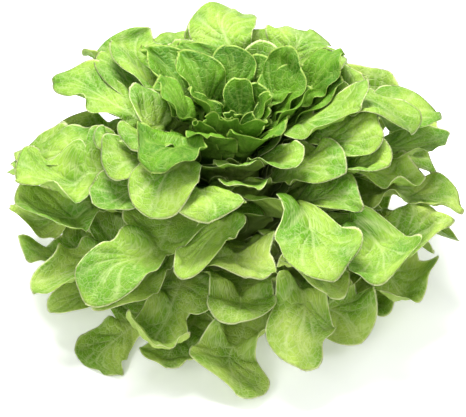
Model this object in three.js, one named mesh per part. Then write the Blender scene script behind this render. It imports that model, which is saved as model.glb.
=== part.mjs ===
// A head of green oak-leaf lettuce, cut at the butt and standing on its cut face.
// Millimetres, +Z up, origin at the centre of the stem's cut face, which is close to the middle of
// the head, on the surface that it stands on.
//
// The leaves sit on a spiral round a short stem and nest inside each other like bowls. The nest is
// described by shells: rank 0 is the outermost and lowest shell, rank 1 the upright one at the heart.
// A place on a shell is an azimuth round the stem and a distance along the leaf. Every leaf keeps to
// its own band of ranks, and two shells never cross, so no leaf runs through another.
import * as THREE from "three";

// ---- Driving dimensions, in millimetres and degrees ----
const LEAF_COUNT = 59;
const OUTER_LEAVES = 20; // of these, and then the middle ones; the rest are the heart
const MIDDLE_LEAVES = 22;
const DIVERGENCE = 137.508; // turn from one leaf to the next on the spiral
const FIRST_AZIMUTH = 90; // azimuth of the outermost leaf

const STEM_RADIUS = 15; // at the lowest leaf
const CUT_RADIUS = 14; // the trimmed end that the head stands on
const BUTT_HEIGHT = 5; // bare stem below the lowest leaf
const CROWN_HEIGHT = 44; // stem that carries leaves
const STEM_GAP = 1.2; // clearance between a leaf's foot and the stem

const LEAF_LENGTH = 132; // the longest leaf, along its midrib
const LEAF_WIDTH = 58; // the widest leaf, across its side lobes, laid flat
const BLADE_THICKNESS = 0.9;
// Leaf form at seven equal steps from the outermost leaf to the heart.
const LENGTH_SHARE = [0.79, 0.955, 1, 0.97, 0.87, 0.74, 0.545]; // of the longest leaf
const WIDTH_SHARE = [1, 1, 0.93, 0.81, 0.69, 0.53, 0.31]; // of the widest leaf
const FOOT_WIDTH = [15, 14, 13, 11, 9, 7, 3]; // where the leaf joins the stem
const MIDRIB_THICKNESS = [2.6, 2.4, 2.2, 2.0, 1.7, 1.3, 0.9]; // at the foot
const RISE = [8, 27, 45, 60, 73, 82, 89]; // slope where the leaf leaves the stem
const TIP_SLOPE = [-30, -36, -34, -26, -6, 32, 70]; // slope at its end, negative where it droops
const DROOP_POWER = 1.8; // how late along its length a leaf bends over
const HALF_WRAP = 50; // most that a blade may wrap to each side round the heart

// The side veins fan out from the midrib and end at the leaf's edge. At seven equal steps from the
// foot to the end: the share of the length at which a vein leaves the midrib, and its angle to it.
const VEIN_START = [0, 0.17, 0.34, 0.5, 0.63, 0.72, 0.75];
const VEIN_ANGLE = [90, 88, 80, 70, 60, 45, 0];
const NECK_END = 0.22; // the share of the fan where the narrow neck ends
const BLADE_FULL = 0.5; // and where the web between the lobes is at full width
// Each pair of lobes: its place on the fan, half its breadth there, and its reach to the side as a
// share of half the leaf's width.
const LOBES = [
  { at: 0.33, breadth: 0.1, reach: 0.7 },
  { at: 0.53, breadth: 0.115, reach: 1 },
];
const END_LOBE = { at: 1, breadth: 0.16, reach: 0.25 }; // its reach is a share of the leaf's length
const END_START = 0.66; // the share of the fan where the lobe at the end begins
const LOBE_BLEND = 5; // how sharply the lobes stand off from the web

// How much the leaves differ. A least and a most, and bends in steps of the nest: one step is the
// room between a leaf's shell and the next one's.
const LENGTH_SPREAD = [0.05, 0.16]; // of the outermost leaves, and of the middle and heart ones
const WIDTH_SPREAD = 0.1;
const TURN = 12; // degrees that a leaf's end may swing aside
const WEB = [0.35, 0.65]; // width of the web, as a share of the leaf's width
const SKEW = { reach: 0.2, place: 0.02 }; // how far the lobes of the two sides may differ
const CUP = [-0.5, 4.5]; // raised edges along the whole leaf
const TWIST = 2;
const CURL = 3.5; // the end bends up or down
const LOBE_CUP = [-0.5, 5.5]; // and the same habits for each lobe
const LOBE_TILT = 2.5;
const LOBE_CURL = [-1.5, 4.5];
const INNER_REACH = 2; // the most that a leaf may stray from its shell at mid-length
const OUTER_REACH = 5.8; // and at its end
const HEART_REACH = 0.18; // share of that freedom left in the crowded heart
const CROWDED = [0.45, 0.7]; // the ranks between which the leaves lose it

// The head as a whole.
const HEAD_DEPTH = 0.9; // front to back, as a share of the width
const HEART_LEAN = 0.02; // the head leans back by this share of the height
const BACK_RISE = 35; // the leaves at the back stand higher than the ones at the front
const RISE_RADIUS = 146; // distance from the axis at which they stand this much higher
const GROUND_GAP = 0.7; // least height of a leaf's middle over the surface
const SETTLE = 4; // height in which a leaf that reaches the surface bends to lie along it
// Broad waves that run through the whole head: height, length, and phase along each axis in radians.
const WAVES = [
  { height: 6.5, length: 95, phase: [2.5, 4, 4.6] },
  { height: 2.4, length: 40, phase: [3.5, 5, 5.6] },
];
const WAVE_COURSE = [0.8, 0.6]; // direction that the waves run in
const WAVE_START = 1.15; // the waves begin at this many times the size of the crown
const WAVE_FULL = 3.2; // and are at full height here
const WAVE_CLEAR = 45; // height over the surface at which they are free to move down

// ---- Small helpers ----
const radians = THREE.MathUtils.degToRad;
const { clamp, lerp, smoothstep } = THREE.MathUtils;

// A value that changes smoothly over the equal steps of a list.
function atStep(list, share) {
  const steps = list.map((value, i) => new THREE.Vector2(i, value));
  return new THREE.SplineCurve(steps).getPoint(clamp(share, 0, 1)).y;
}

// A repeatable number from -1 to 1 for trait k of leaf or lobe i, spread evenly over them.
const TRAIT_STEPS = [0.7549, 0.5698, 0.8191, 0.671, 0.5497, 0.4142];
const trait = (i, k) => ((i * TRAIT_STEPS[k] + 0.37 * k) % 1) * 2 - 1;

// The same between a least and a most value.
const habit = ([least, most], i, k) => lerp(least, most, (1 + trait(i, k)) / 2);

// ---- Shells of the nest ----
const STEM_TOP_ANGLE = radians(84); // the crown is an ellipse, and the heart stops short of its axis
const ARC_STEPS = 24; // straight pieces that a shell's curve is added up from

// Where a shell leaves the stem: radius and height.
function shellFoot(rank) {
  const angle = rank * STEM_TOP_ANGLE;
  return new THREE.Vector2(
    (STEM_RADIUS + STEM_GAP) * Math.cos(angle),
    BUTT_HEIGHT + (CROWN_HEIGHT + STEM_GAP) * Math.sin(angle),
  );
}

// Radius and height on a shell at a distance from the stem, before the waves.
function shellProfile(rank, distance) {
  const length = atStep(LENGTH_SHARE, rank) * LEAF_LENGTH;
  const rise = radians(atStep(RISE, rank));
  const tip = radians(atStep(TIP_SLOPE, rank));
  const point = shellFoot(rank);
  const step = distance / ARC_STEPS;
  for (let k = 0; k < ARC_STEPS; k++) {
    const share = ((k + 0.5) * step) / length;
    const slope = rise - (rise - tip) * share ** DROOP_POWER;
    point.x += step * Math.cos(slope);
    point.y += step * Math.sin(slope);
  }
  return point;
}

// The head's own lean and waves: neighbouring shells move together, so they stay apart.
function wave({ x, y, z }) {
  const radius = Math.hypot(x, y);
  const crowns = Math.hypot(radius / STEM_RADIUS, (z - BUTT_HEIGHT) / CROWN_HEIGHT);
  const strength = smoothstep(crowns, WAVE_START, WAVE_FULL);
  const lift = smoothstep(z, 0, WAVE_CLEAR);
  const backwards = radius > 0 ? (1 + y / radius) / 2 : 0.5;
  const moved = new THREE.Vector3(
    x,
    y + strength * ((HEAD_DEPTH - 1) * y + HEART_LEAN * z),
    z + BACK_RISE * backwards * (radius / RISE_RADIUS) ** 2,
  );
  const [along, over] = WAVE_COURSE;
  for (const { height, length, phase } of WAVES) {
    const turn = (2 * Math.PI) / length;
    const size = height * strength;
    moved.x += size * Math.sin(turn * (along * y + over * z) + phase[0]);
    moved.y += size * Math.sin(turn * (along * z - over * x) + phase[1]);
    moved.z += size * lift * Math.sin(turn * (along * x + over * y) + phase[2]);
  }
  return moved;
}

function shellPoint(rank, azimuth, distance) {
  const { x: radius, y: height } = shellProfile(rank, distance);
  const point = wave(
    new THREE.Vector3(radius * Math.cos(azimuth), radius * Math.sin(azimuth), height),
  );
  point.z = GROUND_GAP + (point.z + Math.hypot(point.z, SETTLE)) / 2;
  return point;
}

// ---- One leaf, laid flat ----
// A round lobe's outline at a distance off its middle, from 1 in the middle to 0 at its sides.
const dome = (off) => Math.sqrt(Math.max(0, 1 - off * off));

// How far a side vein reaches from the midrib to the edge on one side (-1 or 1).
function veinLength(leaf, share, side) {
  const half = leaf.width / 2;
  const web = lerp(leaf.footWidth / 2, leaf.web * half, smoothstep(share, NECK_END, BLADE_FULL));
  const end = END_LOBE.reach * leaf.length * dome((1 - share) / (1 - END_START));
  let sum = web ** LOBE_BLEND + end ** LOBE_BLEND;
  for (const { at, breadth, reach } of LOBES) {
    const off = (share - at - SKEW.place * side * leaf.skew) / breadth;
    sum += (reach * half * (1 + SKEW.reach * side * leaf.skew) * dome(off)) ** LOBE_BLEND;
  }
  return sum ** (1 / LOBE_BLEND);
}

// A place on the leaf, from its share of the fan and its share of the way across (-1 to 1).
function flatPlace(leaf, share, across) {
  const angle = radians(atStep(VEIN_ANGLE, share));
  const reach = veinLength(leaf, share, Math.sign(across)) * Math.abs(across);
  return {
    aside: Math.sign(across) * reach * Math.sin(angle),
    along: atStep(VEIN_START, share) * leaf.length + reach * Math.cos(angle),
  };
}

// The lobes of leaf i, each with its own place, direction, size and habits. The end one is last.
function leafLobes(i, length, width) {
  const sides = LOBES.flatMap((lobe) => [
    { ...lobe, side: -1, reach: (lobe.reach * width) / 2 },
    { ...lobe, side: 1, reach: (lobe.reach * width) / 2 },
  ]);
  const lobes = [...sides, { ...END_LOBE, side: 1, reach: END_LOBE.reach * length }];
  return lobes.map(({ at, breadth, reach, side }, n) => ({
    side,
    reach,
    breadth: breadth * length,
    base: atStep(VEIN_START, at) * length,
    angle: radians(atStep(VEIN_ANGLE, at)),
    cup: habit(LOBE_CUP, i * lobes.length + n, 0),
    tilt: LOBE_TILT * trait(i * lobes.length + n, 1),
    curl: habit(LOBE_CURL, i * lobes.length + n, 2),
  }));
}

// How far a place on the leaf leaves its own shell, in ranks. Near the stem the leaves lie closer.
const RANK_STEP = 1 / (LEAF_COUNT - 1);
const MID_OUT = 0.3; // a cupped leaf sinks in the middle by this share of what its edges rise
const TIP_BEND = [0.6, 1]; // the part of the leaf's length that curls
const LOBE_ROOT = [0.1, 0.7]; // the part of a lobe's reach where its own habits set in
const LOBE_SIDE = [1, 1.6]; // and where they fade beside it, in half breadths
const LOBE_RIM = 1.3; // half breadths at which its sides stop rising
const LOBE_TIP = [0.3, 1]; // the part of its reach that curls
const LOOSE = [0.45, 0.8]; // the part of the leaf's length over which it strays further

function ownShape(leaf, aside, along) {
  const out = aside / (leaf.width / 2);
  const share = along / leaf.length;
  const bend = leaf.cup * (out * out - MID_OUT) + leaf.twist * out;
  let strays = bend + leaf.curl * smoothstep(share, ...TIP_BEND);
  for (const lobe of leaf.lobes) {
    const x = lobe.side * aside;
    const y = along - lobe.base;
    const outwards = (x * Math.sin(lobe.angle) + y * Math.cos(lobe.angle)) / lobe.reach;
    const across = (x * Math.cos(lobe.angle) - y * Math.sin(lobe.angle)) / lobe.breadth;
    const near =
      smoothstep(outwards, ...LOBE_ROOT) * (1 - smoothstep(Math.abs(across), ...LOBE_SIDE));
    const bent = clamp(across, -LOBE_RIM, LOBE_RIM);
    const end = smoothstep(outwards, ...LOBE_TIP);
    strays += near * (lobe.cup * bent * bent + lobe.tilt * bent + lobe.curl * end);
  }
  const most =
    lerp(INNER_REACH, OUTER_REACH, smoothstep(share, ...LOOSE)) *
    lerp(1, HEART_REACH, smoothstep(leaf.rank, ...CROWDED));
  const free = smoothstep(share, NECK_END, 0.6) * most;
  return free * Math.tanh(strays / most) * RANK_STEP;
}

// The midrib thins out towards the leaf's end and sides, and the blade thins to nothing at its edge.
function leafThickness(leaf, share, across) {
  const rib = Math.max(0, leaf.midrib - BLADE_THICKNESS) * Math.max(0, 1 - share) ** 1.2;
  const fromRib = Math.abs(across);
  return BLADE_THICKNESS * (1 - fromRib ** 6) + rib * (1 - fromRib) ** 2;
}

// ---- One leaf, in the head ----
const LEAST_LEAN = 0.35; // a leaf is not thickened by more than one over this to suit a slanting shell

// The two faces of the leaf at one place.
function leafFaces(leaf, share, across) {
  const { aside, along } = flatPlace(leaf, share, across);
  const rank = leaf.rank + ownShape(leaf, aside, along);
  const { x: radius } = shellProfile(rank, along);
  const most = radians(HALF_WRAP);
  const turn = leaf.turn * (along / leaf.length) ** 2;
  const azimuth = leaf.azimuth + turn + most * Math.tanh(aside / radius / most);

  const middle = shellPoint(rank, azimuth, along);
  const inwards = shellPoint(rank + RANK_STEP / 2, azimuth, along).sub(middle).normalize();
  const outwards = shellPoint(rank, azimuth, along + 0.5).sub(middle).normalize();
  const lean = new THREE.Vector3().crossVectors(inwards, outwards).length();
  const half = leafThickness(leaf, along / leaf.length, across) / 2 / Math.max(lean, LEAST_LEAN);
  return {
    upper: middle.clone().addScaledVector(inwards, half),
    lower: middle.clone().addScaledVector(inwards, -half),
  };
}

// Rows from the foot to the end of the fan, and columns from edge to edge. The two faces share their
// edges, and the last row lies folded on the midrib, so its two halves are one.
const ROWS = [
  0, 0.12, 0.24, 0.29, 0.34, 0.39, 0.43, 0.48, 0.54, 0.6, 0.65, 0.69, 0.75, 0.82, 0.91, 1,
];
const COLUMNS = [-1, -0.5, 0, 0.5, 1];

function leafGeometry(leaf) {
  const points = [];
  const add = (point) => points.push(point) - 1;
  const last = COLUMNS.length - 1;
  const upper = [];
  const lower = [];
  for (const share of ROWS) {
    const faces = COLUMNS.map((across) => leafFaces(leaf, share, across));
    const top = faces.map((face) => add(face.upper));
    const under = faces.map((face, c) => (c === 0 || c === last ? top[c] : add(face.lower)));
    const folded = (row) => row.map((_, c) => row[Math.max(c, last - c)]);
    upper.push(share === 1 ? folded(top) : top);
    lower.push(share === 1 ? folded(under) : under);
  }

  const index = [];
  const triangle = (a, b, c) => {
    if (a !== b && b !== c && a !== c) index.push(a, b, c);
  };
  for (let r = 0; r < ROWS.length - 1; r++) {
    for (let c = 0; c < last; c++) {
      triangle(upper[r][c], upper[r + 1][c + 1], upper[r][c + 1]);
      triangle(upper[r][c], upper[r + 1][c], upper[r + 1][c + 1]);
      triangle(lower[r][c], lower[r][c + 1], lower[r + 1][c + 1]);
      triangle(lower[r][c], lower[r + 1][c + 1], lower[r + 1][c]);
    }
  }
  for (let c = 0; c < last; c++) {
    triangle(upper[0][c], lower[0][c + 1], lower[0][c]);
    triangle(upper[0][c], upper[0][c + 1], lower[0][c + 1]);
  }
  const geometry = new THREE.BufferGeometry().setFromPoints(points);
  geometry.setIndex(index);
  return geometry;
}

function leafForm(i) {
  const rank = i * RANK_STEP;
  const spread = lerp(...LENGTH_SPREAD, smoothstep(rank, 0.2, 0.5));
  const length = LEAF_LENGTH * atStep(LENGTH_SHARE, rank) * (1 + spread * trait(i, 1));
  const width = LEAF_WIDTH * atStep(WIDTH_SHARE, rank) * (1 + WIDTH_SPREAD * trait(i, 2));
  return {
    rank,
    length,
    width,
    azimuth: radians(FIRST_AZIMUTH + i * DIVERGENCE),
    turn: radians(TURN * trait(i, 0)),
    footWidth: atStep(FOOT_WIDTH, rank),
    midrib: atStep(MIDRIB_THICKNESS, rank),
    web: habit(WEB, i, 4),
    skew: trait(i, 5),
    cup: habit(CUP, i, 3),
    twist: TWIST * trait(i, 0),
    curl: CURL * trait(i, 4),
    lobes: leafLobes(i, length, width),
  };
}

// ---- The stem ----
const STEM_STEPS = 8; // from the lowest leaf to the top
const STEM_SIDES = 24;

function stemGeometry() {
  const profile = [new THREE.Vector2(0, 0), new THREE.Vector2(CUT_RADIUS, 0)];
  for (let k = 0; k < STEM_STEPS; k++) {
    const angle = (k / STEM_STEPS) * (Math.PI / 2);
    profile.push(
      new THREE.Vector2(STEM_RADIUS * Math.cos(angle), BUTT_HEIGHT + CROWN_HEIGHT * Math.sin(angle)),
    );
  }
  profile.push(new THREE.Vector2(0, BUTT_HEIGHT + CROWN_HEIGHT));
  const geometry = new THREE.LatheGeometry(profile, STEM_SIDES);
  geometry.rotateX(Math.PI / 2);
  return geometry;
}

// ---- Assembly ----
function leafName(i) {
  const number = (n) => String(n + 1).padStart(2, "0");
  if (i < OUTER_LEAVES) return `outer_leaf_${number(i)}`;
  if (i < OUTER_LEAVES + MIDDLE_LEAVES) return `middle_leaf_${number(i - OUTER_LEAVES)}`;
  return `heart_leaf_${number(i - OUTER_LEAVES - MIDDLE_LEAVES)}`;
}

const stemMaterial = new THREE.MeshStandardMaterial({ color: 0xe4ecc0, roughness: 0.55 });
const leafMaterials = {
  outer: new THREE.MeshStandardMaterial({ color: 0x6fae2c, roughness: 0.45 }),
  middle: new THREE.MeshStandardMaterial({ color: 0x82bd38, roughness: 0.42 }),
  heart: new THREE.MeshStandardMaterial({ color: 0x4c8412, roughness: 0.4 }),
};

const lettuce = new THREE.Group();
const stem = new THREE.Mesh(stemGeometry(), stemMaterial);
stem.name = "stem";
lettuce.add(stem);
for (let i = 0; i < LEAF_COUNT; i++) {
  const name = leafName(i);
  const leaf = new THREE.Mesh(leafGeometry(leafForm(i)), leafMaterials[name.split("_")[0]]);
  leaf.name = name;
  lettuce.add(leaf);
}

export default lettuce;
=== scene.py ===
import math

import bmesh
import bpy
import numpy as np
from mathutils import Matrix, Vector


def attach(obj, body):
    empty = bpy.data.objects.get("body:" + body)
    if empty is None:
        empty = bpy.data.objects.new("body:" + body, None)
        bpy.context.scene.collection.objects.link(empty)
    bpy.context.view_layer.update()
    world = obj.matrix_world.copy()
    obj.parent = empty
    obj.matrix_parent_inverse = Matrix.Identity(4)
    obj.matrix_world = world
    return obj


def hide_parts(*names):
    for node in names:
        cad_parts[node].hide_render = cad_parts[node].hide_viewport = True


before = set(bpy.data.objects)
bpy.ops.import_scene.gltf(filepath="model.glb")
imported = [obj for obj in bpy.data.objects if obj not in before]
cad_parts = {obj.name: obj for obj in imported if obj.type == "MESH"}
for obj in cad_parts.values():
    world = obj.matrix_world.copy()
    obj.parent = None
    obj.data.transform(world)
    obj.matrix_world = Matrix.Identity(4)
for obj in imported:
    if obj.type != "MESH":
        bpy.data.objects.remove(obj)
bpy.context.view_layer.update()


# ---- The stem ----
# The short thick stem, of moist milk-white to pale green flesh. It grew as one piece with the leaves
# on it and was cut across with a knife just below the lowest ones, so its end is flat, browned a
# little by the air, with the ring of vessels showing.
STEM_RADIUS = 0.015
CUT_RADIUS = 0.014
BUTT_HEIGHT = 0.005
CROWN_HEIGHT = 0.044
FACE_RING = 0.004  # radius of a ring of points inside the cut face
VESSEL_RING = 0.0095  # radius of the ring of vessels in the cut face
VESSELS_INSIDE, VESSELS_OUTSIDE = 0.007, 0.012  # where that ring fades out
RIM_ROUND, RIM_LIFT = 0.0009, 0.0006  # the knife leaves the rim of the cut a little rounded
STEM_SIDES, CROWN_RINGS = 64, 13
# Shallow dents: their depth as a share of the radius, how many go round, and their twist in radians
# per metre.
DENTS = [(0.02, 3, 60), (0.012, 7, -90)]
CROWN_END = math.radians(86)  # the crown is an ellipse, rounded off here


def linear(hex_colour):
    """An sRGB hex colour as linear red, green, blue and alpha."""
    parts = [int(hex_colour[k : k + 2], 16) / 255 for k in (1, 3, 5)]
    return [*(p / 12.92 if p <= 0.04045 else ((p + 0.055) / 1.055) ** 2.4 for p in parts), 1.0]


def add(tree, kind, inputs=(), **settings):
    """Adds a node with its settings. An input takes a value, a socket or another node's result."""
    node = tree.nodes.new(kind)
    for name, value in settings.items():
        setattr(node, name, value)
    usable = [socket for socket in node.inputs if socket.enabled]
    for key, value in inputs.items() if isinstance(inputs, dict) else enumerate(inputs):
        socket = usable[key] if isinstance(key, int) else next(s for s in usable if s.name == key)
        if isinstance(value, bpy.types.Node):
            value = next(result for result in value.outputs if result.enabled)
        if isinstance(value, bpy.types.NodeSocket):
            tree.links.new(value, socket)
        else:
            socket.default_value = value
    return node


def new_material(name):
    """An empty material and its tree."""
    material = bpy.data.materials.new(name)
    material.use_nodes = True
    material.node_tree.nodes.clear()
    return material, material.node_tree


def mesh_piece(name, mesh):
    """Puts a finished mesh into the scene as a piece that rides on the head's one body."""
    piece = bpy.data.objects.new(name, mesh)
    bpy.context.scene.collection.objects.link(piece)
    mesh.shade_smooth()
    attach(piece, "root")
    return piece


def stem_mesh():
    """The stem's skin, from rings that dent a little inwards: the cut face, its rim and the crown."""
    rings = [
        (FACE_RING, 0.0), (VESSEL_RING, 0.0), (CUT_RADIUS - RIM_ROUND, 0.0), (CUT_RADIUS, RIM_LIFT),
    ]
    for k in range(CROWN_RINGS):
        angle = k / (CROWN_RINGS - 1) * CROWN_END
        rings.append((STEM_RADIUS * math.cos(angle), BUTT_HEIGHT + CROWN_HEIGHT * math.sin(angle)))
    shape = bmesh.new()
    loops = []
    for radius, height in rings:
        loop = []
        for s in range(STEM_SIDES):
            turn = 2 * math.pi * s / STEM_SIDES
            dent = sum(deep * math.sin(n * turn + twist * height) for deep, n, twist in DENTS)
            reach = radius * (1 + min(dent, 0.0))
            loop.append(shape.verts.new((reach * math.cos(turn), reach * math.sin(turn), height)))
        loops.append(loop)
    bottom = shape.verts.new((0, 0, 0))
    top = shape.verts.new((0, 0, BUTT_HEIGHT + CROWN_HEIGHT))
    for s in range(STEM_SIDES):
        n = (s + 1) % STEM_SIDES
        shape.faces.new((bottom, loops[0][n], loops[0][s]))
        for low, high in zip(loops, loops[1:]):
            shape.faces.new((low[s], low[n], high[n], high[s]))
        shape.faces.new((loops[-1][s], loops[-1][n], top))
    bmesh.ops.recalc_face_normals(shape, faces=shape.faces)
    mesh = bpy.data.meshes.new("stem")
    shape.to_mesh(mesh)
    shape.free()
    return mesh


# Fresh cut lettuce stem: wet translucent flesh, cream with a green cast, greener at the vessels and
# towards the leaves, a little brown where the knife bruised it.
fresh_stem, tree = new_material("fresh_lettuce_stem")
place = add(tree, "ShaderNodeTexCoord").outputs["Object"]
height = add(tree, "ShaderNodeSeparateXYZ", (place,)).outputs["Z"]
flat = add(tree, "ShaderNodeVectorMath", (place, (1, 1, 0)), operation="MULTIPLY")
reach = add(tree, "ShaderNodeVectorMath", (flat,), operation="LENGTH")
inside = add(
    tree, "ShaderNodeMapRange", (reach, VESSELS_INSIDE, VESSEL_RING), interpolation_type="SMOOTHSTEP"
)
outside = add(
    tree, "ShaderNodeMapRange", (reach, VESSEL_RING, VESSELS_OUTSIDE, 1.0, 0.0),
    interpolation_type="SMOOTHSTEP",
)
ring = add(tree, "ShaderNodeMath", (inside, outside), operation="MULTIPLY")
mottle = add(tree, "ShaderNodeTexNoise", {"Vector": place, "Scale": 260.0})
rise = add(tree, "ShaderNodeMapRange", (height, 0.0, 0.014))
bruise = add(tree, "ShaderNodeMapRange", (height, 0.0, 0.0012, 0.35, 0.0))
colour = add(tree, "ShaderNodeMix", (mottle, linear("#E4E8C2"), linear("#D3DDA8")), data_type="RGBA")
for amount, over in ((ring, "#A9BC74"), (rise, "#C3D690"), (bruise, "#B08A5A")):
    colour = add(tree, "ShaderNodeMix", (amount, colour, linear(over)), data_type="RGBA")
fibres = add(tree, "ShaderNodeBump", {"Height": mottle, "Distance": 0.0002, "Strength": 0.5})
flesh = add(
    tree, "ShaderNodeBsdfPrincipled",
    {
        "Base Color": colour, "Roughness": 0.38, "IOR": 1.37, "Normal": fibres,
        "Subsurface Weight": 0.3, "Subsurface Radius": (1.0, 1.0, 0.5), "Subsurface Scale": 0.002,
    },
)
add(tree, "ShaderNodeOutputMaterial", {"Surface": flesh})

stem = stem_mesh()
stem.materials.append(fresh_stem)
stem = mesh_piece("cut_stem", stem)
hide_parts("stem")


# ---- The outer leaves ----
# The oldest and largest leaves, grown one after another on a tight spiral round the stem. A leaf is
# one soft sheet under a millimetre thick: a pale crisp midrib broad at its foot, and a blade of
# round lobes with thin edges, painted pale partly as their paler margin and partly as painted glow
# of light through them. The sizes are in millimetres, and the meshes in metres.
LEAF_COUNT = 59
OUTER_LEAVES = 20
MIDDLE_LEAVES = 22
DIVERGENCE = 137.508  # turn in degrees from one leaf to the next on the spiral
FIRST_AZIMUTH = 90  # azimuth in degrees of the outermost leaf
TOP_ANGLE = math.radians(84)  # the highest leaf leaves the crown just short of its top
ARC_STEPS = 24  # straight pieces that a shell's curve is added up from
RANK_STEP = 1 / (LEAF_COUNT - 1)  # rank 0 is the outermost leaf, 1 the one at the heart
STEM_GAP = -0.6  # where the shells start: this is negative, so inside the stem

# Leaf form at seven equal steps from the outermost leaf to the heart.
LENGTH = [104, 126, 132, 128, 115, 98, 72]
BLADE_WIDTH = [58, 58, 54, 47, 40, 31, 18]
FOOT_WIDTH = [15, 14, 13, 11, 9, 7, 3]
RISE = [8, 27, 45, 60, 73, 82, 89]  # slope where it leaves the stem
TIP_SLOPE = [-30, -36, -34, -26, -6, 32, 70]  # slope at its end
MIDRIB_THICKNESS = [2.6, 2.4, 2.2, 2.0, 1.7, 1.3, 0.9]

BLADE_THICKNESS = 0.8
HALF_WRAP = math.radians(50)  # most that a blade wraps to each side round the heart
DROOP_POWER = 1.8  # how late along its length a leaf bends over
GROUND_GAP = 0.7  # least height of a leaf's middle over the surface
SETTLE = 4  # height in which a leaf that reaches the surface bends to lie along it
BACK_RISE = 35  # the leaves at the back stand higher than the ones that droop at the front
RISE_RADIUS = 146  # distance from the axis at which they stand that much higher
HEART_LEAN = 0.02  # the head leans back by this share of its height
HEAD_DEPTH = 0.9  # front to back, as a share of the width
WAVES = [(6.5, 95), (2.4, 40)]  # height and length of the broad waves through the head
WAVE_COURSE = (0.8, 0.6)  # direction that they run in
WAVE_PHASE = (2.5, 4, 4.6)  # of the first one along each axis, in radians; the second is one on
WAVE_START, WAVE_FULL = 1.15, 3.2  # in sizes of the crown
WAVE_CLEAR = 45  # height at which they are free to move down

# The side veins fan out from the midrib and end at the leaf's edge: at seven equal steps from the
# foot to the end, the share of the length at which they leave it, and their angle to it.
VEIN_START = [0, 0.17, 0.34, 0.5, 0.63, 0.72, 0.75]
VEIN_ANGLE = [90, 88, 80, 70, 60, 45, 0]
# Each pair of lobes: its place on that fan, half its breadth there, and its reach to the side as a
# share of half the blade's width.
LOBES = [(0.33, 0.1, 0.7), (0.53, 0.115, 1.0)]
END_BREADTH = 0.34  # the part of the fan that feeds the lobe at the end
END_REACH = 1 - VEIN_START[-1]
LOBE_BLEND = 5  # how sharply the lobes stand off from the web between them
NECK_END, BLADE_FULL = 0.22, 0.5  # the narrow neck ends, and the web is at full width

# How much the leaves differ. A pair is a middle value and the spread to both sides of it, and bends
# are in steps of the nest, the room between one leaf's shell and the next one's.
LENGTH_SPREAD, YOUNG_SPREAD = 0.05, 0.11  # of the oldest leaves, and what the younger ones add
YOUNG = (0.2, 0.5)  # the ranks between which they add it
WIDTH_SPREAD = 0.1
TURN = 12  # degrees that a leaf's end may swing aside
WEB = (0.5, 0.15)  # width of the web, as a share of the leaf's width
SKEW_PLACE, SKEW_REACH = 0.02, 0.2  # how far the lobes of the two sides may differ
CUP = (2, 2.5)  # raised edges along the whole leaf
TWIST = 2
CURL = 3.5  # the end bends up or down
LOBE_CUP = (2.5, 3)  # and the same habits for each lobe
LOBE_TILT = 2.5
LOBE_CURL = (1.5, 3)

# Where the bends set in.
MID_OUT = 0.3  # a cupped leaf sinks in the middle by this share of what its edges rise
TIP_BEND = (0.6, 1)  # the part of the leaf's length that curls
LOBE_ROOT = (0.1, 0.7)  # the part of a lobe's reach where its own habits set in
LOBE_SIDE = (1, 1.6)  # and where they fade beside it, in half breadths
LOBE_RIM = 1.3  # half breadths at which its sides stop rising
LOBE_TIP = (0.3, 1)  # the part of its reach that curls
LOOSE = (0.45, 0.8)  # the part of the leaf's length over which it strays further
NECK_FREE = 0.6  # past the neck a leaf comes free of its shell, and is wholly free from here
CROWDED = (0.45, 0.7)  # the ranks between which the leaves lose that freedom
INNER_REACH = 2  # steps of the nest that a leaf may stray from its shell at mid-length
OUTER_REACH = 5.8  # and at its end
HEART_REACH = 0.24  # share of that freedom left in the crowded heart
SIDE_FREEDOM = 0.5  # and in the smaller leaves that grow in between
SIDE_LENGTH = 0.93  # their length, as a share of what an ordinary leaf would have there
END_LOBE_BREADTH = 0.16  # half the end lobe's breadth, as a share of the leaf's length

# The thickness of the sheet.
RIB_TAPER = 1.2  # how fast the midrib thins towards the leaf's end
RIB_END = 1  # half the midrib's width there
EDGE_POWER = 8  # the blade keeps its thickness nearly to its edge, the more the higher this is
FOOT_TAPER = 0.03  # the part of the fan over which the foot closes

TRAIT_STEPS = [0.7549, 0.5698, 0.8191, 0.671, 0.5497, 0.4142]
TRAIT_SHIFT = 0.37


def trait(i, k):
    """A repeatable number from -1 to 1 for trait k of leaf i."""
    return ((i * TRAIT_STEPS[k] + TRAIT_SHIFT * k) % 1) * 2 - 1


def varied(pair, i, k):
    """A value that trait k of leaf i moves away from its middle, by at most its spread."""
    middle, spread = pair
    return middle + spread * trait(i, k)


def smooth(x, low, high):
    """A smooth rise from 0 to 1 between low and high."""
    t = np.clip((x - low) / (high - low), 0, 1)
    return t * t * (3 - 2 * t)


def at_step(values, share):
    """A value that changes smoothly over the equal steps of a list."""
    values = np.array(values, float)
    last = len(values) - 1
    place = np.clip(share, 0, 1) * last
    k = np.minimum(np.floor(place).astype(int), last)
    t = place - k
    before, here, after, beyond = (values[np.clip(k + d, 0, last)] for d in (-1, 0, 1, 2))
    start, end = (after - before) / 2, (beyond - here) / 2
    return (
        (2 * here - 2 * after + start + end) * t**3
        + (3 * after - 3 * here - 2 * start - end) * t**2
        + start * t
        + here
    )


def shell_profile(rank, distance):
    """Radius and height on a shell of the nest, at a distance from the stem."""
    length = at_step(LENGTH, rank)
    rise = np.radians(at_step(RISE, rank))
    tip = np.radians(at_step(TIP_SLOPE, rank))
    angle = rank * TOP_ANGLE
    radius = (STEM_RADIUS * 1000 + STEM_GAP) * np.cos(angle)
    height = BUTT_HEIGHT * 1000 + (CROWN_HEIGHT * 1000 + STEM_GAP) * np.sin(angle)
    for k in range(ARC_STEPS):
        share = np.clip((k + 0.5) / ARC_STEPS * distance / length, 0, None)
        slope = rise - (rise - tip) * share**DROOP_POWER
        radius = radius + distance / ARC_STEPS * np.cos(slope)
        height = height + distance / ARC_STEPS * np.sin(slope)
    return radius, height


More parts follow.
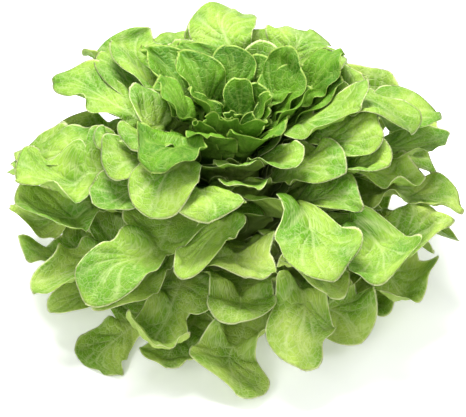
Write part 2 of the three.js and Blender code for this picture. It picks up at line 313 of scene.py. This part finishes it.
def shell_point(rank, azimuth, distance):
    """A place on a shell as a point in the head, after the lean and the broad waves."""
    radius, z = shell_profile(rank, distance)
    x, y = radius * np.cos(azimuth), radius * np.sin(azimuth)
    crowns = np.hypot(radius / STEM_RADIUS, (z - BUTT_HEIGHT * 1000) / CROWN_HEIGHT) / 1000
    strength = smooth(crowns, WAVE_START, WAVE_FULL)
    lift = smooth(z, 0, WAVE_CLEAR)
    moved_x = x
    moved_y = y * (1 + (HEAD_DEPTH - 1) * strength) + HEART_LEAN * z * strength
    moved_z = z + BACK_RISE * (1 + np.sin(azimuth)) / 2 * (radius / RISE_RADIUS) ** 2
    main, cross = WAVE_COURSE
    for n, (height, length) in enumerate(WAVES):
        turn = 2 * math.pi / length
        size = height * strength
        moved_x = moved_x + size * np.sin(turn * (main * y + cross * z) + WAVE_PHASE[0] + n)
        moved_y = moved_y + size * np.sin(turn * (main * z - cross * x) + WAVE_PHASE[1] + n)
        moved_z = moved_z + size * lift * np.sin(turn * (main * x + cross * y) + WAVE_PHASE[2] + n)
    settled = GROUND_GAP + (moved_z + np.hypot(moved_z, SETTLE)) / 2
    return np.stack([moved_x, moved_y, settled], axis=-1)


def leaf_form(i, between=False):
    """The sizes and habits of leaf i, counted from the outermost, or of the next small leaf."""
    place = i + 0.5 * between
    rank = place * RANK_STEP
    uneven = LENGTH_SPREAD + YOUNG_SPREAD * smooth(rank, *YOUNG)
    length = float(at_step(LENGTH, rank)) * (1 + uneven * trait(i, 1))
    blade_width = float(at_step(BLADE_WIDTH, rank)) * (1 + WIDTH_SPREAD * trait(i, 2))
    if between:
        length *= SIDE_LENGTH
    number = i + LEAF_COUNT * between
    return {
        "number": number,
        "rank": rank,
        "length": length,
        "blade_width": blade_width,
        "azimuth": math.radians(FIRST_AZIMUTH + place * DIVERGENCE + 180 * between),
        "turn": math.radians(TURN * trait(i, 0)),
        "freedom": SIDE_FREEDOM if between else 1.0,
        "foot_width": float(at_step(FOOT_WIDTH, rank)),
        "midrib": float(at_step(MIDRIB_THICKNESS, rank)),
        "web": varied(WEB, i, 4),
        "skew": trait(i, 5),
        "cup": varied(CUP, i, 3),
        "twist": TWIST * trait(i, 0),
        "curl": CURL * trait(i, 4),
        "lobes": leaf_lobes(number, length, blade_width / 2),
    }


def vein_length(leaf, share, side):
    """How far a side vein reaches from the midrib to the leaf's edge, with the leaf laid flat."""
    blade = leaf["blade_width"] / 2
    neck = leaf["foot_width"] / 2
    web = neck + (leaf["web"] * blade - neck) * smooth(share, NECK_END, BLADE_FULL)
    off_end = np.clip((1 - share) / END_BREADTH, 0, 1)
    end = END_REACH * leaf["length"] * np.sqrt(1 - off_end**2)
    total = web**LOBE_BLEND + end**LOBE_BLEND
    for at, breadth, reach in LOBES:
        uneven = side * leaf["skew"]
        off = np.clip((share - at - SKEW_PLACE * uneven) / breadth, -1, 1)
        total = total + (reach * blade * (1 + SKEW_REACH * uneven) * np.sqrt(1 - off**2)) ** LOBE_BLEND
    return total ** (1 / LOBE_BLEND)


def leaf_lobes(i, length, blade):
    """The lobes of a leaf, each with its own place, direction, size and habit, the end one last."""
    sides = [(*lobe, side) for lobe in LOBES for side in (-1, 1)]
    lobes = []
    for n, (at, breadth, reach, side) in enumerate([*sides, (1, END_LOBE_BREADTH, None, 1)]):
        habit = i * (2 * len(LOBES) + 1) + n
        lobes.append({
            "base": float(at_step(VEIN_START, at)) * length,
            "angle": math.radians(float(at_step(VEIN_ANGLE, at))),
            "reach": reach * blade if reach else END_REACH * length,
            "breadth": breadth * length,
            "side": side,
            "cup": varied(LOBE_CUP, habit, 0),
            "tilt": LOBE_TILT * trait(habit, 1),
            "curl": varied(LOBE_CURL, habit, 2),
        })
    return lobes


def own_shape(leaf, aside, along):
    """How far a place on the leaf leaves its own shell, in ranks."""
    out = aside / (leaf["blade_width"] / 2)
    share = along / leaf["length"]
    strays = leaf["cup"] * (out**2 - MID_OUT) + leaf["twist"] * out
    strays = strays + leaf["curl"] * smooth(share, *TIP_BEND)
    for lobe in leaf["lobes"]:
        x, y = lobe["side"] * aside, along - lobe["base"]
        sine, cosine = math.sin(lobe["angle"]), math.cos(lobe["angle"])
        outwards = (x * sine + y * cosine) / lobe["reach"]
        across = (x * cosine - y * sine) / lobe["breadth"]
        near = smooth(outwards, *LOBE_ROOT) * (1 - smooth(np.abs(across), *LOBE_SIDE))
        bent = np.clip(across, -LOBE_RIM, LOBE_RIM)
        habit = lobe["cup"] * bent**2 + lobe["tilt"] * bent
        habit = habit + lobe["curl"] * smooth(outwards, *LOBE_TIP)
        strays = strays + near * habit
    crowding = 1 + (HEART_REACH - 1) * smooth(leaf["rank"], *CROWDED)
    most = (INNER_REACH + (OUTER_REACH - INNER_REACH) * smooth(share, *LOOSE)) * crowding
    most = most * leaf["freedom"]
    free = smooth(share, NECK_END, NECK_FREE) * most
    return free * np.tanh(strays / most) * RANK_STEP


ROWS, COLUMNS = 76, 30  # quads along the midrib and across it, in a leaf's sheet


def leaf_sheet(leaf):
    """The middle surface of a leaf as a mesh, with the facts its veins and colours go by."""
    share, across = np.meshgrid(
        np.linspace(0, 1, ROWS + 1), np.linspace(-1, 1, COLUMNS + 1), indexing="ij"
    )
    angle = np.radians(at_step(VEIN_ANGLE, share))
    reach = vein_length(leaf, share, np.sign(across))
    aside = across * reach * np.sin(angle)
    along = at_step(VEIN_START, share) * leaf["length"] + np.abs(across) * reach * np.cos(angle)
    rank = leaf["rank"] + own_shape(leaf, aside, along)
    radius, _ = shell_profile(rank, along)
    turn = leaf["turn"] * (along / leaf["length"]) ** 2
    azimuth = leaf["azimuth"] + turn + HALF_WRAP * np.tanh(aside / radius / HALF_WRAP)
    points = shell_point(rank, azimuth, along) / 1000

    index = np.arange((ROWS + 1) * (COLUMNS + 1)).reshape(ROWS + 1, COLUMNS + 1)
    low, high = index[:-1], index[1:]
    faces = np.stack([low[:, :-1], high[:, :-1], high[:, 1:], low[:, 1:]], axis=-1).reshape(-1, 4)
    mesh = bpy.data.meshes.new("leaf_sheet")
    mesh.from_pydata(points.reshape(-1, 3).tolist(), [], faces.tolist())

    outline = np.concatenate([np.stack([aside[:, c], along[:, c]], -1) for c in (0, -1)])
    flat = np.stack([aside, along], -1).reshape(-1, 1, 2)
    to_edge = np.sqrt(((flat - outline) ** 2).sum(-1)).min(-1)
    done = np.clip(along / leaf["length"], 0, 1)
    rib_half = leaf["foot_width"] / 2 * (1 - done) + RIB_END
    facts = {
        "share": done,
        "edge_mm": to_edge,
        "aside_mm": aside,
        "along_mm": along,
        "fan_mm": share * leaf["length"],
        "rib_mm": (leaf["midrib"] - BLADE_THICKNESS)
        * (1 - done) ** RIB_TAPER
        * np.clip(1 - np.abs(aside) / rib_half, 0, 1) ** 2,
        "blade_mm": BLADE_THICKNESS
        * (1 - across**EDGE_POWER)
        * np.sqrt(np.clip(share / FOOT_TAPER, 0, 1)),
    }
    for name, values in facts.items():
        layer = mesh.attributes.new(name, "FLOAT", "POINT")
        layer.data.foreach_set("value", np.ascontiguousarray(values, np.float32).ravel())
    return mesh


def blade_tree():
    """Turns a leaf's sheet into its solid blade: veins, puckers between them, a ruffled edge."""
    tree = bpy.data.node_groups.new("leaf_blade", "GeometryNodeTree")
    face = tree.interface
    face.new_socket("Sheet", in_out="INPUT", socket_type="NodeSocketGeometry")
    for name, value in {
        "Vein Spacing": 9.0, "Vein Width": 1.1, "Vein Height": 0.4, "Pucker Height": 0.9,
        "Ruffle Height": 1.1, "Ruffle Length": 17.0, "Ruffle Reach": 9.0,
    }.items():
        face.new_socket(name, in_out="INPUT", socket_type="NodeSocketFloat").default_value = value
    face.new_socket("Seed", in_out="INPUT", socket_type="NodeSocketInt")
    face.new_socket("Skin", in_out="INPUT", socket_type="NodeSocketMaterial")
    face.new_socket("Blade", in_out="OUTPUT", socket_type="NodeSocketGeometry")
    given = add(tree, "NodeGroupInput").outputs
    metre = 0.001  # turns the sheet's millimetres into metres
    seed_step = 7.31
    wander_mm = 9.0  # how far a side vein strays along the fan
    drift_turn = 11.0  # how far the ruffle's waves drift, in radians

    aside, along, edge, share, fan, blade_mm, rib_mm = (
        add(tree, "GeometryNodeInputNamedAttribute", {"Name": name})
        for name in ("aside_mm", "along_mm", "edge_mm", "share", "fan_mm", "blade_mm", "rib_mm")
    )
    flat = add(tree, "ShaderNodeCombineXYZ", (aside, along))
    seed = add(tree, "ShaderNodeMath", (given["Seed"], seed_step), operation="MULTIPLY")
    away = add(tree, "ShaderNodeMath", (aside,), operation="ABSOLUTE")

    # Side veins run out along the fan, a little unevenly, and the midrib thins towards the end.
    wander = add(
        tree, "ShaderNodeTexNoise", {"Vector": flat, "W": seed, "Scale": 0.06, "Detail": 1.0},
        noise_dimensions="4D",
    )
    wandered = add(tree, "ShaderNodeMath", (wander, wander_mm, fan), operation="MULTIPLY_ADD")
    lanes = add(tree, "ShaderNodeMath", (wandered, given["Vein Spacing"]), operation="DIVIDE")
    lane = add(tree, "ShaderNodeMath", (lanes, 0.5), operation="PINGPONG")
    off_vein = add(tree, "ShaderNodeMath", (lane, given["Vein Spacing"]), operation="MULTIPLY")
    side_vein = add(
        tree, "ShaderNodeMapRange", (off_vein, 0.0, given["Vein Width"], 1.0, 0.0),
        interpolation_type="SMOOTHSTEP",
    )
    off_edge = add(tree, "ShaderNodeMapRange", (edge, 0.5, 6.0), interpolation_type="SMOOTHSTEP")
    off_foot = add(tree, "ShaderNodeMapRange", (share, 0.2, 0.45), interpolation_type="SMOOTHSTEP")
    on_blade = add(tree, "ShaderNodeMath", (off_edge, off_foot), operation="MULTIPLY")
    side_vein = add(tree, "ShaderNodeMath", (side_vein, on_blade), operation="MULTIPLY")
    rib_width = add(tree, "ShaderNodeMapRange", (share, 0.1, 1.0, 3.0, 0.6))
    midrib = add(
        tree, "ShaderNodeMapRange", (away, 0.0, rib_width, 1.0, 0.0), interpolation_type="SMOOTHSTEP"
    )
    rib_end = add(tree, "ShaderNodeMapRange", (share, 0.86, 0.98, 1.0, 0.0))
    midrib = add(tree, "ShaderNodeMath", (midrib, rib_end), operation="MULTIPLY")
    vein = add(tree, "ShaderNodeMath", (side_vein, midrib), operation="MAXIMUM")

    # The blade rises between its veins, and its edge has grown longer than its middle, so it waves.
    crown = add(tree, "ShaderNodeMapRange", (lane, 0.0, 0.5), interpolation_type="SMOOTHSTEP")
    off_rib = add(tree, "ShaderNodeMapRange", (away, 0.0, 5.0), interpolation_type="SMOOTHSTEP")
    pucker = add(tree, "ShaderNodeMath", (crown, on_blade), operation="MULTIPLY")
    pucker = add(tree, "ShaderNodeMath", (pucker, off_rib), operation="MULTIPLY")
    pucker = add(tree, "ShaderNodeMath", (pucker, given["Pucker Height"]), operation="MULTIPLY")
    drift = add(
        tree, "ShaderNodeTexNoise", {"Vector": flat, "W": seed, "Scale": 0.04, "Detail": 0.0},
        noise_dimensions="4D",
    )
    side = add(tree, "ShaderNodeMath", (aside,), operation="SIGN")
    swing = add(tree, "ShaderNodeMath", (drift, drift_turn, side), operation="MULTIPLY_ADD")
    turns = add(tree, "ShaderNodeMath", (fan, given["Ruffle Length"]), operation="DIVIDE")
    run = add(tree, "ShaderNodeMath", (turns, 2 * math.pi, swing), operation="MULTIPLY_ADD")
    sway = add(tree, "ShaderNodeMath", (run,), operation="SINE")
    near_edge = add(
        tree, "ShaderNodeMapRange", (edge, 0.0, given["Ruffle Reach"], 1.0, 0.0),
        interpolation_type="SMOOTHSTEP",
    )
    ruffle = add(tree, "ShaderNodeMath", (sway, near_edge), operation="MULTIPLY")
    ruffle = add(tree, "ShaderNodeMath", (ruffle, off_foot), operation="MULTIPLY")
    relief = add(
        tree, "ShaderNodeMath", (ruffle, given["Ruffle Height"], pucker), operation="MULTIPLY_ADD"
    )
    lift = add(tree, "ShaderNodeMath", (relief, metre), operation="MULTIPLY")

    sheet = add(tree, "GeometryNodeMergeByDistance", {"Geometry": given["Sheet"], "Distance": 1e-6})
    normal = add(tree, "GeometryNodeInputNormal")
    out = add(tree, "ShaderNodeVectorMath", {"Vector": normal, "Scale": lift}, operation="SCALE")
    shaped = add(tree, "GeometryNodeSetPosition", {"Geometry": sheet, "Offset": out})
    noted = add(
        tree, "GeometryNodeStoreNamedAttribute", {"Geometry": shaped, "Name": "vein", "Value": vein},
        data_type="FLOAT", domain="POINT",
    )

    # The upper face has a shallow channel over each vein, and the lower face carries the ribs.
    half = add(tree, "ShaderNodeMath", (blade_mm, 0.5), operation="MULTIPLY")
    half_height = add(tree, "ShaderNodeMath", (given["Vein Height"], 0.5), operation="MULTIPLY")
    channel = add(tree, "ShaderNodeMath", (vein, half_height), operation="MULTIPLY")
    channel = add(tree, "ShaderNodeMath", (channel, half), operation="MINIMUM")
    above = add(tree, "ShaderNodeMath", (half, channel), operation="SUBTRACT")
    above = add(tree, "ShaderNodeMath", (above, metre), operation="MULTIPLY")
    ribs = add(
        tree, "ShaderNodeMath", (side_vein, given["Vein Height"], rib_mm), operation="MULTIPLY_ADD"
    )
    solid = add(tree, "ShaderNodeMapRange", (blade_mm, 0.0, 0.4))
    below = add(tree, "ShaderNodeMath", (ribs, solid, half), operation="MULTIPLY_ADD")
    below = add(tree, "ShaderNodeMath", (below, -metre), operation="MULTIPLY")
    joined = add(tree, "GeometryNodeJoinGeometry")
    for side, distance in ((1.0, above), (0.0, below)):
        way = add(tree, "ShaderNodeVectorMath", {"Vector": normal, "Scale": distance}, operation="SCALE")
        face = add(tree, "GeometryNodeSetPosition", {"Geometry": noted, "Offset": way})
        if side == 0.0:
            face = add(tree, "GeometryNodeFlipFaces", {"Mesh": face})
        face = add(
            tree, "GeometryNodeStoreNamedAttribute", {"Geometry": face, "Name": "upper", "Value": side},
            data_type="FLOAT", domain="FACE",
        )
        tree.links.new(face.outputs[0], joined.inputs[0])
    closed = add(tree, "GeometryNodeMergeByDistance", {"Geometry": joined, "Distance": 2e-5})
    real = add(tree, "GeometryNodeRealizeInstances", {"Geometry": closed})
    skinned = add(tree, "GeometryNodeSetMaterial", {"Geometry": real, "Material": given["Skin"]})
    add(tree, "NodeGroupOutput", {"Blade": skinned})
    return tree


blade = blade_tree()
blade_inputs = {
    item.name: item.identifier for item in blade.interface.items_tree if item.in_out == "INPUT"
}
grower = bpy.data.objects.new("leaf_grower", bpy.data.meshes.new("nothing"))
bpy.context.scene.collection.objects.link(grower)


def grow_leaf(leaf, skin, **sizes):
    """A leaf's finished mesh, from its sheet and the blade tree."""
    grower.data = leaf_sheet(leaf)
    blading = grower.modifiers.new("blade", "NODES")
    blading.node_group = blade
    for name, value in {"Seed": leaf["number"], "Skin": skin, **sizes}.items():
        blading[blade_inputs[name]] = value
    bpy.context.view_layer.update()
    grown = grower.evaluated_get(bpy.context.evaluated_depsgraph_get())
    mesh = bpy.data.meshes.new_from_object(grown)
    grower.modifiers.remove(blading)
    return mesh


def leaf_skin(name, deep, light, vein, under, pale_edge_and_glow, gloss):
    """The skin of fresh lettuce leaves: satin, uneven in tone and gloss, netted with fine pale veins,
    its flesh thin enough for light to glow through, and paler and duller beneath."""
    material, tree = new_material(name)
    aside, along, edge, share, upper, vein_mask = (
        add(tree, "ShaderNodeAttribute", attribute_name=name).outputs["Fac"]
        for name in ("aside_mm", "along_mm", "edge_mm", "share", "upper", "vein")
    )
    flat = add(tree, "ShaderNodeCombineXYZ", (aside, along))
    object_place = add(tree, "ShaderNodeTexCoord").outputs["Object"]
    patches = add(tree, "ShaderNodeTexNoise", {"Vector": object_place, "Scale": 45.0, "Detail": 3.0})
    on_blade = add(tree, "ShaderNodeMapRange", (share, 0.25, 0.5), interpolation_type="SMOOTHSTEP")
    beneath = add(tree, "ShaderNodeMapRange", (upper, 0.0, 1.0, 1.0, 0.0))
    # The net is drawn in two sizes: cells of about 3 mm, and of 1 mm for the finest that show.
    nets = []
    for scale, width in ((0.36, 0.13), (0.95, 0.2)):
        cells = add(
            tree, "ShaderNodeTexVoronoi", {"Vector": flat, "Scale": scale}, feature="DISTANCE_TO_EDGE"
        )
        lines = add(
            tree, "ShaderNodeMapRange", (cells, 0.0, width, 1.0, 0.0), interpolation_type="SMOOTHSTEP"
        )
        nets.append(add(tree, "ShaderNodeMath", (lines, on_blade), operation="MULTIPLY"))
    net, fine_net = nets

    tone = add(tree, "ShaderNodeMapRange", (patches, 0.32, 0.68), interpolation_type="SMOOTHSTEP")
    colour = add(tree, "ShaderNodeMix", (tone, linear(deep), linear(light)), data_type="RGBA")
    to_foot = add(
        tree, "ShaderNodeMapRange", (share, 0.1, 0.5, 0.9, 0.0), interpolation_type="SMOOTHSTEP"
    )
    # The rim within about a millimetre of the edge is painted pale: partly the leaf's paler margin,
    # partly a painted glow of light shining through the thin edge.
    to_edge = add(
        tree, "ShaderNodeMapRange", (edge, 0.4, 1.2, 0.9, 0.0), interpolation_type="SMOOTHSTEP"
    )
    for mask, most, over in (
        (net, 0.25, vein), (fine_net, 0.12, vein), (vein_mask, 0.42, vein), (to_foot, 1.0, vein),
        (beneath, 0.5, under), (to_edge, 1.0, pale_edge_and_glow),
    ):
        amount = add(tree, "ShaderNodeMath", (mask, most), operation="MULTIPLY")
        colour = add(tree, "ShaderNodeMix", (amount, colour, linear(over)), data_type="RGBA")

    dips = add(tree, "ShaderNodeMath", (net, -0.7), operation="MULTIPLY")
    dips = add(tree, "ShaderNodeMath", (fine_net, -0.3, dips), operation="MULTIPLY_ADD")
    relief = add(tree, "ShaderNodeBump", {"Height": dips, "Distance": 0.0005, "Strength": 0.7})
    roughness = add(tree, "ShaderNodeMath", (patches, 0.16, gloss), operation="MULTIPLY_ADD")
    roughness = add(tree, "ShaderNodeMath", (beneath, 0.12, roughness), operation="MULTIPLY_ADD")
    flesh = add(
        tree, "ShaderNodeBsdfPrincipled",
        {
            "Base Color": colour, "Roughness": roughness, "IOR": 1.4, "Normal": relief,
            "Specular IOR Level": 0.35,
            "Subsurface Weight": 0.12, "Subsurface Radius": (0.8, 1.0, 0.25),
            "Subsurface Scale": 0.0012,
        },
    )
    glow = add(tree, "ShaderNodeBsdfTranslucent", {"Color": colour, "Normal": relief})
    thin = add(tree, "ShaderNodeMixShader", {0: 0.24, 1: flesh, 2: glow})
    add(tree, "ShaderNodeOutputMaterial", {"Surface": thin})
    return material


outer_skin = leaf_skin(
    "fresh_outer_lettuce_leaf", deep="#6A9C02", light="#B0CA54", vein="#DEE8AA", under="#B4CA62",
    pale_edge_and_glow="#ECF6B4", gloss=0.34,
)
for i in range(OUTER_LEAVES):
    number = f"{i + 1:02d}"
    leaf = mesh_piece(f"outer_leaf_blade_{number}", grow_leaf(leaf_form(i), outer_skin))
    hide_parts(f"outer_leaf_{number}")
    between = grow_leaf(leaf_form(i, between=True), outer_skin)
    mesh_piece(f"outer_side_leaf_{number}", between)


# ---- The middle leaves ----
# The leaves that make most of the head, mostly shorter and more upright than the outermost, with the
# same thin blade, painted a slightly deeper green as painted shade for the inside of the head. They
# press close at the neck and open out at the top.
middle_skin_shaded = leaf_skin(
    "middle_lettuce_leaf_painted_shade", deep="#5C9800", light="#A0C442", vein="#D6E49E", under="#AAC658",
    pale_edge_and_glow="#ECF6B0", gloss=0.3,
)
for i in range(MIDDLE_LEAVES):
    number = f"{i + 1:02d}"
    form = leaf_form(OUTER_LEAVES + i)
    leaf = mesh_piece(f"middle_leaf_blade_{number}", grow_leaf(form, middle_skin_shaded))
    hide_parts(f"middle_leaf_{number}")
    between = grow_leaf(leaf_form(OUTER_LEAVES + i, between=True), middle_skin_shaded)
    mesh_piece(f"middle_side_leaf_{number}", between)


# ---- The heart leaves ----
# The youngest leaves, small, narrow and upright round the hollow in the middle of the head, finely
# ruffled, on the same thin blade. Their skin is painted a deeper green than the others, as painted shade
# for the hollow.
heart_skin_painted_shade = leaf_skin(
    "heart_lettuce_leaf_painted_shade", deep="#387204", light="#6AA21C", vein="#A8C660", under="#80AA3C",
    pale_edge_and_glow="#B6D466", gloss=0.3,
)
young = {"Pucker Height": 0.5, "Ruffle Height": 1.7, "Ruffle Length": 12.0, "Vein Spacing": 7.0}
for i in range(LEAF_COUNT - OUTER_LEAVES - MIDDLE_LEAVES):
    number = f"{i + 1:02d}"
    form = leaf_form(OUTER_LEAVES + MIDDLE_LEAVES + i)
    mesh = grow_leaf(form, heart_skin_painted_shade, **young)
    leaf = mesh_piece(f"heart_leaf_blade_{number}", mesh)
    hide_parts(f"heart_leaf_{number}")
    form = leaf_form(OUTER_LEAVES + MIDDLE_LEAVES + i, between=True)
    between = grow_leaf(form, heart_skin_painted_shade, **young)
    mesh_piece(f"heart_side_leaf_{number}", between)

bpy.data.objects.remove(grower)


# ---- The view ----
# A white table top that glows a little, under a soft light from above and weaker ones from the front
# and the right, seen from the side where the leaves droop. None of this is part of the lettuce.
TABLE_REACH = 6
floor_mesh = bpy.data.meshes.new("white_table_top")
corners = [(x * TABLE_REACH, y * TABLE_REACH, 0) for x, y in ((-1, -1), (1, -1), (1, 1), (-1, 1))]
floor_mesh.from_pydata(corners, [], [(0, 1, 2, 3)])
floor = bpy.data.objects.new("white_table_top", floor_mesh)
bpy.context.scene.collection.objects.link(floor)
matt_white, tree = new_material("matt_white_table")
paint = add(
    tree, "ShaderNodeBsdfPrincipled",
    {
        "Base Color": linear("#F7F8FA"), "Roughness": 0.8, "Emission Color": (1.0, 1.0, 1.0, 1.0),
        "Emission Strength": 0.25,
    },
)
add(tree, "ShaderNodeOutputMaterial", {"Surface": paint})
floor_mesh.materials.append(matt_white)

daylight = bpy.data.worlds.new("soft_daylight")
daylight.use_nodes = True
daylight.node_tree.nodes["Background"].inputs["Color"].default_value = (1.0, 1.0, 1.0, 1.0)
daylight.node_tree.nodes["Background"].inputs["Strength"].default_value = 0.42
bpy.context.scene.world = daylight
bpy.context.scene.view_settings.view_transform = "Standard"

middle = Vector((0.0, 0.0, 0.06))
for name, place, size, power in (
    ("overhead_softbox", (-0.15, 0.2, 1.1), 0.5, 22.5),
    ("front_softbox", (-0.4, -1.0, 0.7), 0.6, 6.5),
    ("side_softbox", (0.9, -0.3, 0.7), 0.5, 4.0),
):
    lamp = bpy.data.lights.new(name, "AREA")
    lamp.size = size
    lamp.energy = power
    light = bpy.data.objects.new(name, lamp)
    light.location = place
    light.rotation_euler = (middle - Vector(place)).to_track_quat("-Z", "Y").to_euler()
    bpy.context.scene.collection.objects.link(light)

CAMERA_DISTANCE = 1.4
CAMERA_RISE = math.radians(36.5)
aim = Vector((0.0008, 0.0, 0.0476))
lens = bpy.data.cameras.new("camera")
lens.sensor_width = 36
lens.lens = 190
lens.clip_start = 0.05
camera = bpy.data.objects.new("camera", lens)
back = Vector((0.0, -math.cos(CAMERA_RISE), math.sin(CAMERA_RISE)))
camera.location = aim + CAMERA_DISTANCE * back
camera.rotation_euler = (-back).to_track_quat("-Z", "Y").to_euler()
bpy.context.scene.collection.objects.link(camera)
bpy.context.scene.camera = camera
